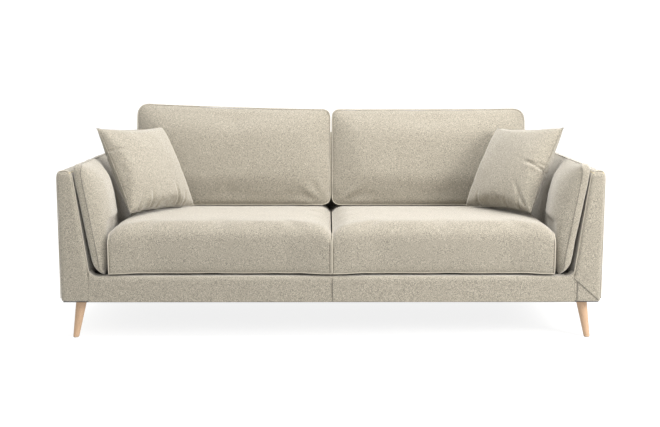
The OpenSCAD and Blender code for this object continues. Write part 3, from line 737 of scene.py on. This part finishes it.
def arm_pad(side):
    """A pad that's fullest just behind its front, and stands off the arm in a wedge towards its foot."""
    grid = Grid(8, 60, 36)
    u = grid.unit()
    length, foot_z, top = 0.715, 0.2525, 0.686
    low, high = (FRONT_Y - 0.002, foot_z), (FRONT_Y - 0.002 + length, top)
    y = low[0] + (u[:, 1] + 1) / 2 * length
    z = foot_z + (u[:, 2] + 1) / 2 * (top - foot_z)
    y, z = rounded_outline(y, z, low, high, (0.030, 0.030, 0.030, 0.030))
    cy, cz, hy, hz = (low[0] + high[0]) / 2, (foot_z + top) / 2, length / 2, (top - foot_z) / 2
    behind = y - FRONT_Y
    rise = np.clip(behind / 0.13, 0, 1)
    hump = np.sqrt(rise * (2 - rise)) * (1 - 0.62 * eased((behind - 0.19) / 0.17))
    hump = hump * np.sqrt(np.clip((length - behind) / 0.06, 0, 1))
    crown = hump * np.sqrt(np.clip(1 - np.abs((z - cz) / hz) ** 3.5, 0, 1))
    # The foot of the front curls in towards the seat, to a tip.
    foot = np.clip((0.297 - z) / 0.044, 0, 1)
    wedge = (0.003 + 0.013 * np.clip((0.62 - z) / 0.34, 0, 1)) * np.clip(1 - behind / 0.24, 0, 1)
    outer = inner_x(z) - 0.003 - wedge - 0.030 * foot ** 2
    thick = (0.029 + 0.064 * crown) * (1 - 0.60 * foot)
    x = outer - (1 - u[:, 0]) / 2 * thick
    inset = turned_edge(outer - x, 0.013)
    y, z = cy + (y - cy) * (1 - inset / hy), cz + (z - cz) * (1 - inset / hz)
    obj = mesh_object(f"arm_pad_cover_{side}", np.column_stack([x, y, z]), grid.faces, CLOTH)
    seams = [grid.loop(0, 0), grid.loop(0, grid.n[0])]
    reach = seam_reach(coords(obj), seams, near=0.003, far=0.012, width=0.10)
    puffed(obj, pressure=2.5, reach=reach, stiff=18.0, bend=0.6)
    p = coords(obj)
    # It keeps off the arm and the rail, and beside the seat cushion off that.
    off_arm, rail_top, seat_side, above_seat = 0.0025, 0.2512, 0.8745, 0.80
    p[:, 0] = inner_x(p[:, 2]) + soft_limit(p[:, 0] - inner_x(p[:, 2]), -off_arm, 0.003)
    p[:, 2] = soft_floor(p[:, 2], rail_top, 0.003)
    beside = np.clip((0.50 - p[:, 2]) / 0.04, 0, 1)
    p[:, 0] = soft_floor(p[:, 0], seat_side * beside + above_seat * (1 - beside), 0.005)
    set_coords(obj, p)
    mirrored(obj, SIDES[side])
    finished_cushion("arm_pad", side, obj, grid.faces, seams[:1], [], folds=0.0018, scale=11.0,
                     fill=0.75, depth=0.007, filling="arm_pad_foam")


# ---- the throw pillows ----


def pillow_place(side):
    """Where a pillow's lower edge rests, and how it is turned, leaned and rolled."""
    at, lean, turn, roll = {"left": ((-0.696, -0.128, 0.466), -29.5, 57.0, 2.3),
                            "right": ((0.686, -0.135, 0.469), -30.5, -56.5, -3.3)}[side]
    spin = (Matrix.Rotation(math.radians(turn), 4, "Z") @ Matrix.Rotation(math.radians(lean), 4, "X")
            @ Matrix.Rotation(math.radians(roll), 4, "Y"))
    return Matrix.Translation(at) @ spin


def creased(points, folds, half):
    """Valleys that run in from a pillow's seam. Each fold is the place on the seam, as a share of the half
    width, the way it runs, its length and its depth."""
    out = points.copy()
    for (fx, fz), turn, length, depth in folds:
        way = np.array([math.cos(math.radians(turn)), math.sin(math.radians(turn))])
        d = points[:, [0, 2]] - np.array([fx, fz]) * half
        along, aside = d @ way, d @ np.array([-way[1], way[0]])
        wide = 0.0065 + 0.040 * np.clip(along, 0, 1)
        shape = (aside / wide) ** 2
        fade = np.clip(along / 0.012, 0, 1) * np.clip(1 - along / length, 0, 1) ** 1.2
        profile = 1.2 * np.exp(-shape / 3.5) - 2.7 * np.exp(-shape)
        out[:, 1] += np.sign(points[:, 1]) * depth * profile * fade
    return out


PILLOW_FOLDS = {
    "left": [
        ((-0.80, -0.97), 62, 0.12, 0.008), ((-0.42, -0.99), 84, 0.10, 0.009),
        ((-0.30, -0.99), 60, 0.07, 0.006), ((0.42, -0.99), 100, 0.11, 0.010),
        ((0.56, -0.99), 78, 0.07, 0.007), ((-0.97, 0.45), -18, 0.08, 0.004),
        ((-0.35, 0.99), -70, 0.07, 0.004),
    ],
    "right": [
        ((0.86, -0.90), 128, 0.13, 0.009), ((0.70, -0.99), 98, 0.09, 0.008),
        ((0.30, -0.99), 84, 0.06, 0.005), ((0.99, -0.05), 168, 0.10, 0.009),
        ((0.99, 0.10), 196, 0.08, 0.006), ((-0.55, -0.99), 80, 0.07, 0.006),
        ((0.40, 0.99), -110, 0.06, 0.003),
    ],
}


def throw_pillow(side):
    """Two square panels sewn edge to edge and stuffed."""
    n = 44
    half, thick = 0.1965, 0.058
    points, faces, index = [], [], {}
    for way in (-1, 1):
        for i in range(n + 1):
            for j in range(n + 1):
                a, b = 2 * i / n - 1, 2 * j / n - 1
                if way == 1 and (i in (0, n) or j in (0, n)):
                    index[way, i, j] = index[-1, i, j]
                    continue
                # The sides pull in a little between the corners, which end in soft points.
                x = a * (half - 0.007 * (1 - b * b) * abs(a) ** 3)
                z = b * (half - 0.007 * (1 - a * a) * abs(b) ** 3)
                index[way, i, j] = len(points)
                points.append((x, way * thick * ((1 - a ** 2) * (1 - b ** 2)) ** 0.5, z))
    for way in (-1, 1):
        for i in range(n):
            for j in range(n):
                ring = [index[way, i + di, j + dj] for di, dj in ((0, 0), (1, 0), (1, 1), (0, 1))]
                faces.append(ring if way < 0 else ring[::-1])
    obj = mesh_object(f"throw_pillow_cover_{side}", points, faces, CLOTH)
    rim = [index[-1, i, 0] for i in range(n)] + [index[-1, n, j] for j in range(n)]
    rim += [index[-1, i, n] for i in range(n, 0, -1)] + [index[-1, 0, j] for j in range(n, 0, -1)]
    reach = seam_reach(coords(obj), [rim], near=0.009, far=0.032, width=0.09)
    puffed(obj, pressure=2.8, reach=reach, stiff=22.0, bend=0.2, frames=22)
    place = pillow_place(side) @ Matrix.Translation((0, 0, 0.1925))
    obj.matrix_world = place
    bpy.context.view_layer.update()
    core(f"throw_pillow_filling_{side}", obj, faces, 0, f"throw_pillow_{side}", f"pillow_fill_{side}",
         (0.84, 0.74, 0.84))
    # The lower seam bunches up a little where the pillow sits on it.
    p = coords(obj)
    low_down = np.exp(-np.clip(p[:, 2] + half, 0, 1) / 0.030)
    wave = np.array([noise.noise(Vector((x * 34.0, SIDES[side] * 3.0, 0.5))) for x in p[:, 0]])
    p[:, 2] += 0.009 * wave * low_down
    set_coords(obj, p)
    line = []
    for i in rim:
        q = Vector(p[i])
        q.y += 0.0022 * noise.noise(q * 55.0)
        line.append(q)
    lip = tube(f"throw_pillow_seam_{side}", even_path(line, 0.005), 0.0014, CLOTH)
    lip.matrix_world = place
    subdivided(obj, 2)
    p = creased(coords(obj), PILLOW_FOLDS[side], half)
    set_coords(obj, p)
    set_coords(obj, wrinkled(p, vertex_normals(obj), 0.0026, 12.0, 4.0 + SIDES[side]))
    piece(obj, f"throw_pillow_{side}")
    piece(lip, f"throw_pillow_{side}")
    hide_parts(f"throw_pillow_{side}")


# ---- the fitted covers of the arms, rail and backrest ----


def fitted(name, points, faces, seed, amount, crisp=None):
    """A tight cover over padding: the mapped box with slow, shallow unevenness. crisp tells which
    points lie on an edge that butts against another panel, and stay where they are."""
    obj = mesh_object(name, points, faces, CLOTH)
    if crisp is not None:
        layer = obj.data.attributes.new("crease_edge", "FLOAT", "EDGE")
        edge = [all(crisp[v] for v in e.vertices) for e in obj.data.edges]
        layer.data.foreach_set("value", [float(v) for v in edge])
        obj.data.attributes.new("sharp_edge", "BOOLEAN", "EDGE").data.foreach_set("value", edge)
    subdivided(obj)
    set_coords(obj, wrinkled(coords(obj), vertex_normals(obj), amount, 6.0, seed))
    return obj


def arm_cover(side):
    """An arm's cover: an upright outer face, a sloping inner face and a soft flat top."""
    sign = SIDES[side]
    grid = Grid(10, 62, 42)
    u = grid.unit()
    top = ARM_Z + 0.002
    z = FOOT_Z + (u[:, 2] + 1) / 2 * (top - FOOT_Z)
    low_x, high_x = inner_x(z), HALF_W + {"left": 0.005, "right": 0.0}[side]
    middle, half = (low_x + high_x) / 2, (high_x - low_x) / 2
    x = middle + u[:, 0] * half
    # The top is rounded from side to side.
    top_r = 0.022
    cx, cz = np.clip(x, low_x + top_r, high_x - top_r), top - top_r
    dx, dz = x - cx, np.maximum(z - cz, 0)
    length = np.hypot(dx, dz)
    turn = np.where((dz > 0) & (length > TINY), np.maximum(np.abs(dx), dz) / np.maximum(length, TINY), 1)
    x, z = cx + dx * turn, np.where(dz > 0, cz + dz * turn, z)
    # The front turns over a rounded edge, apart from where it meets the rail's panel.
    gap = np.minimum(np.minimum(x - low_x, high_x - x), top - z)
    gap = np.where((np.abs(u[:, 0]) > FACE) | (u[:, 2] > FACE), 0, gap)
    gap = np.where((z < RAIL_Z + 0.004) & (u[:, 0] < 0), high_x - x, gap)
    drop = turned_edge(gap, 0.008)
    back = rear_y(z) - 0.0005
    run = (u[:, 1] + 1) / 2
    y = FRONT_Y + drop + run * (back - drop - FRONT_Y - drop)
    x = np.where((u[:, 2] < -FACE) & (x > HALF_W - 0.01), x - 0.001, x)
    # The padding swells the front and the outer side a little.
    swell = 0.0025 * np.clip(1 - u[:, 2] ** 4, 0, 1)
    y = y - swell * np.clip(1 - u[:, 0] ** 2, 0, 1) * (u[:, 1] < -FACE) * (z > RAIL_Z)
    x = x + swell * np.clip(1 - u[:, 1] ** 4, 0, 1) * (u[:, 0] > FACE)
    crisp = (u[:, 0] < -FACE) & (z < RAIL_Z + 0.001) & (u[:, 1] < -FACE)
    points = np.column_stack([x * sign, y, z])
    obj = fitted(f"arm_cover_soft_{side}", points, facing_out(grid.faces, sign), 2.0 * sign, 0.0014, crisp)
    piece(obj, "root")
    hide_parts(f"arm_cover_{side}")
    # A seam's lip runs down the outer edge of the front panel, over its top and down the inside.
    ring = [i for i in grid.loop(1, 0) if u[i, 2] > -FACE]
    ring = [i for i in ring if not (grid.places[i][0] == 0 and z[i] < RAIL_Z + 0.002)]
    lines = [sewn_edge(points, ring, 0.006)]
    if side == "right":
        # Where the rail's panel is sewn to this arm's: an upright seam and a mitre out to the corner, drawn
        # as thin lines of the darker cloth, which is painted shade in the seams.
        for a, b in (((0.9565, FOOT_Z + 0.003), (0.9560, 0.2290)), ((0.9405, 0.2445), (1.0400, 0.1570))):
            line = [Vector((a[0] + (b[0] - a[0]) * t, FRONT_Y - 0.0016, a[1] + (b[1] - a[1]) * t))
                    for t in np.linspace(0, 1, 16)]
            lines.append(tube("lip", line, 0.0014, SEAM_SHADE, False, 0.5))
    piece(joined(f"arm_cover_seams_{side}", lines), "root")


def rail_covers():
    """The rail's panel reaches from arm to arm, and turns up into a rounded corner at each."""
    grid = Grid(120, 5, 10)
    u = grid.unit()
    level = FOOT_Z + (u[:, 2] + 1) / 2 * (RAIL_Z - FOOT_Z)
    seam_gap = 0.0003
    x = u[:, 0] * (inner_x(level) - seam_gap)
    corner_r = 0.022
    into = np.clip(np.abs(x) - (float(inner_x(RAIL_Z)) - corner_r), 0, corner_r)
    z = level + (corner_r - np.sqrt(corner_r ** 2 - into ** 2)) * np.clip((level - 0.215) / 0.035, 0, 1)
    x = np.sign(x) * np.where(z > RAIL_Z, np.minimum(np.abs(x), inner_x(z) - seam_gap), np.abs(x))
    gap = np.where(u[:, 2] > FACE, 0, RAIL_Z - z)
    gap = np.where(np.abs(x) > 0.915, 1, gap)
    y = FRONT_Y + (u[:, 1] + 1) / 2 * 0.060
    y = np.where(u[:, 1] < -FACE, FRONT_Y + turned_edge(gap, 0.007), y)
    crisp = (np.abs(u[:, 0]) > FACE) | (u[:, 2] < -FACE)
    obj = fitted("rail_cover_soft_front", np.column_stack([x, y, z]), grid.faces, 1.0, 0.0010, crisp)
    piece(obj, "root")
    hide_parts("rail_cover_front")
    rear_x = u[:, 0] * (inner_x(level) - seam_gap)
    rear = np.column_stack([rear_x, REAR_Y0 - (1 - u[:, 1]) / 2 * 0.005, level])
    obj = fitted("rail_cover_soft_rear", rear, grid.faces, 1.6, 0.0006, crisp)
    piece(obj, "root")
    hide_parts("rail_cover_rear")
    # The middle seam of the rail's panel, a thin line of the darker cloth that is painted shade, and the
    # dark cloth turned up under the frame all round.
    line = [Vector((0.004, FRONT_Y - 0.0010, z)) for z in np.linspace(0.1525, 0.2445, 14)]
    piece(joined("rail_middle_seam_painted_shade", [tube("lip", line, 0.0014, SEAM_SHADE, False, 0.5)]), "root")
    x1, y0, y1 = HALF_W - 0.006, FRONT_Y + 0.003, REAR_Y0 - 0.004
    hem = [Vector((hx, hy, FOOT_Z - 0.0006)) for hx, hy in ((-x1, y0), (x1, y0), (x1, y1), (-x1, y1))]
    piece(joined("dust_cover_hem", [tube("hem", even_path(hem, 0.02), 0.0016, DUST)]), "root")


def back_cover():
    """The backrest's cover, between the arms and above the rail."""
    grid = Grid(110, 8, 34)
    u = grid.unit()
    # The rows crowd towards the edges, where the cover turns over the frame.
    u[:, [0, 2]] = u[:, [0, 2]] * (1.35 - 0.35 * u[:, [0, 2]] ** 2)
    foot_z = RAIL_Z + 0.0005
    z = foot_z + (u[:, 2] + 1) / 2 * (BACK_TOP_Z - foot_z)
    half = inner_x(np.minimum(z, ARM_Z)) - 0.0045
    x = u[:, 0] * half
    gap = np.minimum(half - np.abs(x), BACK_TOP_Z - z)
    gap = np.where((np.abs(u[:, 0]) > FACE) | (u[:, 2] > FACE), 0, gap)
    drop = turned_edge(gap, 0.007)
    y = rear_y(z) - BACK_T / 2 + u[:, 1] * (BACK_T / 2 - drop)
    swell = 0.002 * np.clip(1 - u[:, 0] ** 6, 0, 1) * np.clip(1 - u[:, 2] ** 4, 0, 1)
    y = y - swell * (u[:, 1] < -FACE)
    # The backrest's top and foot are square to its lean.
    depth = rear_y(z) - y
    cos, sin = math.cos(BACK_LEAN), math.sin(BACK_LEAN)
    points = np.column_stack([x, rear_y(z) - depth * cos ** 2, z + depth * cos * sin])
    obj = fitted("back_cover_soft", points, grid.faces, 7.0, 0.0012)
    piece(obj, "root")
    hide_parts("back_cover")
    rings = [[i for i in grid.loop(1, row) if u[i, 2] > -FACE] for row in (0, grid.n[1])]
    lines = [sewn_edge(points, ring, 0.008) for ring in rings]
    piece(joined("back_cover_seams_painted_highlight", lines), "root")


# ---- the zips at the rear of the loose cushions ----


def zip_fastener(name, body, x0, x1, z, face, lean):
    """A cloth tape with two rows of teeth, let into a cushion's rear panel. face is the panel's y there."""
    spin = Matrix.Rotation(-lean, 4, "X")
    at = Vector((0, face, z))
    count = int(abs(x1 - x0) / 0.0032)
    step = (x1 - x0) / count
    grid = Grid(60, 2, 6)
    u = grid.unit()
    x = (x0 + x1) / 2 + u[:, 0] * (x1 - x0) / 2
    wave = np.array([0.0004 * noise.noise(Vector((v * 40, 0, 0))) for v in x])
    lip = 0.0006 * np.abs(u[:, 2]) ** 3
    tape = np.column_stack([x, u[:, 1] * 0.0004 + lip, u[:, 2] * 0.011 + wave])
    # The tape uses the lighter seam-lip cloth, which is the fabric brightened as a painted highlight.
    tape_obj = mesh_object("tape", tape, facing_out(grid.faces, x1 - x0), LIP_HIGHLIGHT)
    teeth, faces = [], []
    for i in range(count):
        for way in (-1, 1):
            cx = x0 + step * (i + (0.25 if way > 0 else 0.75))
            base = len(teeth)
            for dy, shrink in ((0.0004, 1.0), (0.0013, 0.9), (0.0018, 0.55)):
                for sx, sz in ((-1, -1), (1, -1), (1, 1), (-1, 1)):
                    teeth.append((cx + sx * 0.0009 * shrink, dy, way * 0.0011 + sz * 0.0021 * shrink))
            for ring in range(2):
                for k in range(4):
                    m, q = (k + 1) % 4, base + ring * 4
                    faces.append((q + k, q + m, q + 4 + m, q + 4 + k))
            faces.append((base + 3, base + 2, base + 1, base))
            faces.append((base + 8, base + 9, base + 10, base + 11))
    teeth_obj = mesh_object("teeth", teeth, faces, NICKEL, smooth=False)
    for obj, title, slot in ((tape_obj, "tape", "upholstery"), (teeth_obj, "teeth", "zip_metal")):
        obj.data.transform(Matrix.Translation(at) @ spin)
        obj.name = f"{name}_{title}"
        piece(obj, body)


def cushion_zips():
    """The zip at the rear of each seat and back cushion."""
    seat_zip_z, back_zip_z = 0.349, 0.510
    back_face = float(rest_y(back_zip_z)) - 0.0002
    for side, sign in SIDES.items():
        zip_fastener(f"seat_zip_run_{side}", f"seat_cushion_{side}", sign * 0.055, sign * 0.825,
                     seat_zip_z, 0.2778, 0)
        zip_fastener(f"back_zip_run_{side}", f"back_cushion_{side}", sign * 0.050, sign * 0.815,
                     back_zip_z, back_face, BACK_LEAN)


for side in SIDES:
    seat_cushion(side)
    back_cushion(side)
    arm_pad(side)
    throw_pillow(side)
    arm_cover(side)
rail_covers()
back_cover()
cushion_zips()

# ---- materials on the CAD nodes that stay ----

FINISHES = (
    (BEECH, ("leg_front", "leg_rear")),
    (GLIDE, ("leg_glides",)),
    (STEEL, ("leg_plates", "leg_bolts", "leg_plate_screws", "seat_springs", "spring_clips", "arm_bolts",
             "back_bolts")),
    (TIMBER, ("front_rail", "rear_rail", "side_rail", "centre_rail", "corner_blocks", "arm_bottom_rails",
              "arm_top_rails", "arm_front_posts", "arm_rear_posts", "back_bottom_rail", "back_top_rail",
              "back_posts")),
    (BOARD, ("arm_outer_panels", "arm_inner_panels", "back_rear_panel")),
    (FOAM, ("rail_foam", "arm_foam", "back_foam")),
    (DECK, ("seat_deck",)),
    (DUST, ("dust_cover",)),
    (WEBBING, ("back_webbing",)),
    (NICKEL, ("seat_zip", "back_zip")),
)
finish_of = {base: material for material, bases in FINISHES for base in bases}
for name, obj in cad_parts.items():
    if obj.hide_render:
        continue
    obj.data.materials.clear()
    obj.data.materials.append(finish_of[name.removesuffix("_left").removesuffix("_right")])

# ---- floor, light and camera ----

floor_nodes = Nodes("studio_floor")
speckle = floor_nodes.noise(floor_nodes.where, 60.0, 3.0, 0.6)
FLOOR = floor_nodes.finish(
    **{"Base Color": floor_nodes.mix(speckle, (0.25, 0.25, 0.249), (0.28, 0.28, 0.279)), "Roughness": 0.9,
       "Specular IOR Level": 0.1, "Emission Color": (1, 1, 1, 1), "Emission Strength": 0.83,
       "Normal": floor_nodes.bump(speckle, 0.0002, 0.2)})
# A floor that bends up into a wall behind.
wall_y, bend_r = 12.0, 3.0
bend_y = wall_y - bend_r
sweep = [(y, 0.0) for y in np.linspace(-wall_y, bend_y, 16)]
sweep += [(bend_y + bend_r * math.sin(a), bend_r * (1 - math.cos(a)))
          for a in np.linspace(0.1, math.pi / 2, 12)]
sweep += [(wall_y, z) for z in (5.0, 8.0, 12.0)]
points = [(x, y, z) for y, z in sweep for x in (-16.0, 16.0)]
faces = [(2 * i, 2 * i + 1, 2 * i + 3, 2 * i + 2) for i in range(len(sweep) - 1)]
floor = mesh_object("studio_sweep", points, faces, FLOOR)

scene = bpy.context.scene
scene.view_settings.view_transform = "Standard"
world = bpy.data.worlds.new("studio")
world.use_nodes = True
# A pale surround, brighter on the right.
tree = world.node_tree
background = tree.nodes["Background"]
background.inputs["Color"].default_value = (1.0, 1.0, 1.0, 1.0)
direction = tree.nodes.new("ShaderNodeTexCoord")
parts = tree.nodes.new("ShaderNodeSeparateXYZ")
level = tree.nodes.new("ShaderNodeMapRange")
for socket, value in (("From Min", -1.0), ("From Max", 1.0), ("To Min", 0.44), ("To Max", 1.28)):
    level.inputs[socket].default_value = value
tree.links.new(direction.outputs["Generated"], parts.inputs[0])
tree.links.new(parts.outputs[0], level.inputs["Value"])
# What the camera itself sees of it is plain and pale all round.
seen = tree.nodes.new("ShaderNodeLightPath")
choice = tree.nodes.new("ShaderNodeMix")
tree.links.new(seen.outputs["Is Camera Ray"], choice.inputs[0])
tree.links.new(level.outputs[0], choice.inputs[2])
choice.inputs[3].default_value = 1.0
tree.links.new(choice.outputs[0], background.inputs["Strength"])
scene.world = world


def softbox(name, at, target, size, power, tint):
    """A rectangular light that faces a point."""
    light = bpy.data.lights.new(name, "AREA")
    light.shape = "RECTANGLE"
    light.size, light.size_y = size
    light.energy = power
    light.color = tint
    obj = bpy.data.objects.new(name, light)
    obj.location = at
    obj.rotation_euler = (Vector(target) - Vector(at)).to_track_quat("-Z", "Y").to_euler()
    scene.collection.objects.link(obj)


softbox("key", (2.7, -2.1, 1.6), (0.5, 0, 0.4), (1.2, 1.2), 88, (1.0, 0.985, 0.965))
softbox("top", (0.2, -0.8, 3.3), (0, 0.0, 0.3), (3.0, 1.6), 125, (1.0, 1.0, 1.0))

camera = bpy.data.cameras.new("camera")
camera.lens = 57.3
camera.sensor_width = 36
camera_object = bpy.data.objects.new("camera", camera)
camera_object.location = (-0.017, -4.45, 1.068)
camera_object.rotation_euler = (math.radians(81.88), 0, math.radians(-0.15))
scene.collection.objects.link(camera_object)
scene.camera = camera_object
